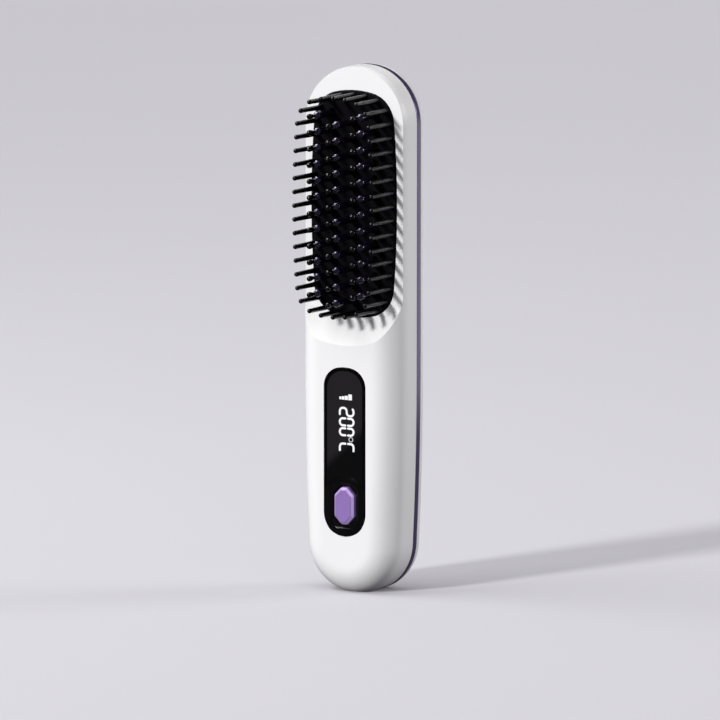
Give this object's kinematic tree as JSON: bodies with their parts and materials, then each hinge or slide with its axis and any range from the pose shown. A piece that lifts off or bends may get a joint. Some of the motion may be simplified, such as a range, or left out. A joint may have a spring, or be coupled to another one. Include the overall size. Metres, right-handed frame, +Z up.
{
  "type": "hot styling brush",
  "caption": "Cordless hot hair-styling brush: heated bristle head on a rounded handle with a glossy display panel, a push button and a charging socket in its flat foot.",
  "frame": {"origin": "on the flat foot, in the middle of the width, at the parting plane between the front shell and the accent band", "axes": "+Z up the length of the brush, +X to the right seen from the bristle side, bristles and panel face -Y"},
  "size_m": [0.0432, 0.0392, 0.2],
  "materials": {
    "front_shell": "satin white moulding",
    "accent_band": "polished lavender",
    "rear_cover": "satin white moulding",
    "bristle_plate": "fine moulded black",
    "edge_bristles": "smooth black nylon",
    "heated_teeth": "dark ceramic coating",
    "guard_tips": "smooth black",
    "heating_plate": "bare cast",
    "heater_clamp": "bare sheet",
    "ceramic_heater": "white fired ceramic",
    "mica_sheet": "layered mica",
    "temperature_sensor": "glass bead",
    "thermal_fuse": "plated can",
    "heater_leads": "silicone sleeve",
    "display_lens": "smoked, polished",
    "lens_adhesive": "foam tape",
    "power_button": "satin lavender",
    "display_module": "black display block",
    "main_board": "green solder mask",
    "board_screws": "plated",
    "heater_screws": "plated",
    "switch_body": "moulded",
    "switch_plunger": "moulded",
    "battery_cells": "film-wrapped can",
    "battery_cradle": "moulded",
    "cell_links": "nickel strip",
    "usb_shell": "drawn steel",
    "usb_tongue": "moulded",
    "charge_board": "green solder mask",
    "case_screws": "plated"
  },
  "bodies": {
    "casing": {"front_shell": "front_shell", "accent_band": "accent_band", "rear_cover": "rear_cover", "bristle_plate": "bristle_plate", "edge_bristles": "edge_bristles", "heated_teeth": "heated_teeth", "guard_tips": "guard_tips", "heating_plate": "heating_plate", "heater_clamp": "heater_clamp", "ceramic_heater": "ceramic_heater", "mica_sheet": "mica_sheet", "temperature_sensor": "temperature_sensor", "thermal_fuse": "thermal_fuse", "heater_leads": "heater_leads", "display_lens": "display_lens", "lens_adhesive": "lens_adhesive", "display_module": "display_module", "main_board": "main_board", "board_screws": "board_screws", "heater_screws": "heater_screws", "switch_body": "switch_body", "battery_cells": "battery_cells", "battery_cradle": "battery_cradle", "cell_links": "cell_links", "usb_shell": "usb_shell", "usb_tongue": "usb_tongue", "charge_board": "charge_board", "case_screws": "case_screws"},
    "button": {"power_button": "power_button"},
    "plunger": {"switch_plunger": "switch_plunger"}
  },
  "joints": [
    {"name": "button_press", "type": "slide", "parent": "casing", "child": "button", "axis": [0, 1, 0], "range_m": [0, 0.00035], "stiffness_N_per_m": 3000},
    {"name": "plunger_press", "type": "slide", "parent": "casing", "child": "plunger", "axis": [0, 1, 0], "range_m": [0, 0.00035]}
  ],
  "couplings": [
    {"joint": "plunger_press", "follows": "button_press", "ratio": 1}
  ]
}
